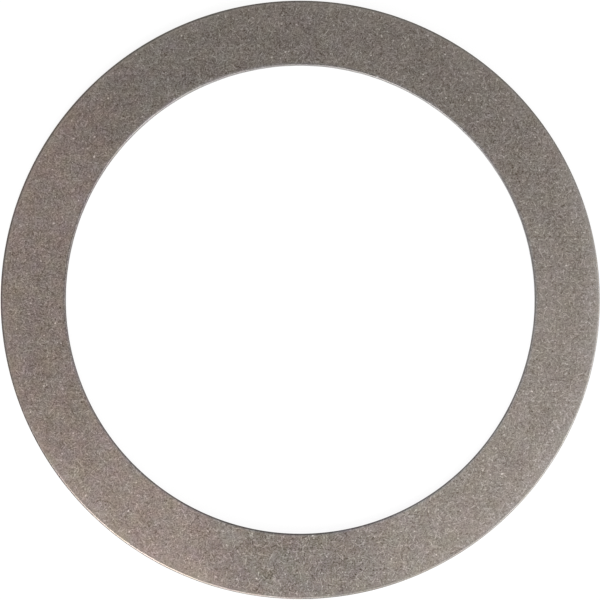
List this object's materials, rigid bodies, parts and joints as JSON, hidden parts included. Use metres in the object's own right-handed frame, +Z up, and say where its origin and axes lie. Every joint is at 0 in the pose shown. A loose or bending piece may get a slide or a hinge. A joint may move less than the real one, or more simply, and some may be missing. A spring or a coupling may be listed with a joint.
{
  "type": "thrust washer",
  "caption": "Flat steel ring that keeps two turning faces apart round a shaft, with sheared walls and tumbled edges.",
  "frame": {"origin": "centre of the bore in the plane of the lower face, on which the washer lies", "axes": "+Z up the bore's axis, from the lower face to the face with the rolled corners; the ring is the same all round, so +X and +Y are free"},
  "size_m": [0.069, 0.069, 0.0015],
  "materials": {
    "washer_steel": "satin"
  },
  "bodies": {
    "root": {"thrust_washer": "washer_steel"}
  },
  "joints": []
}
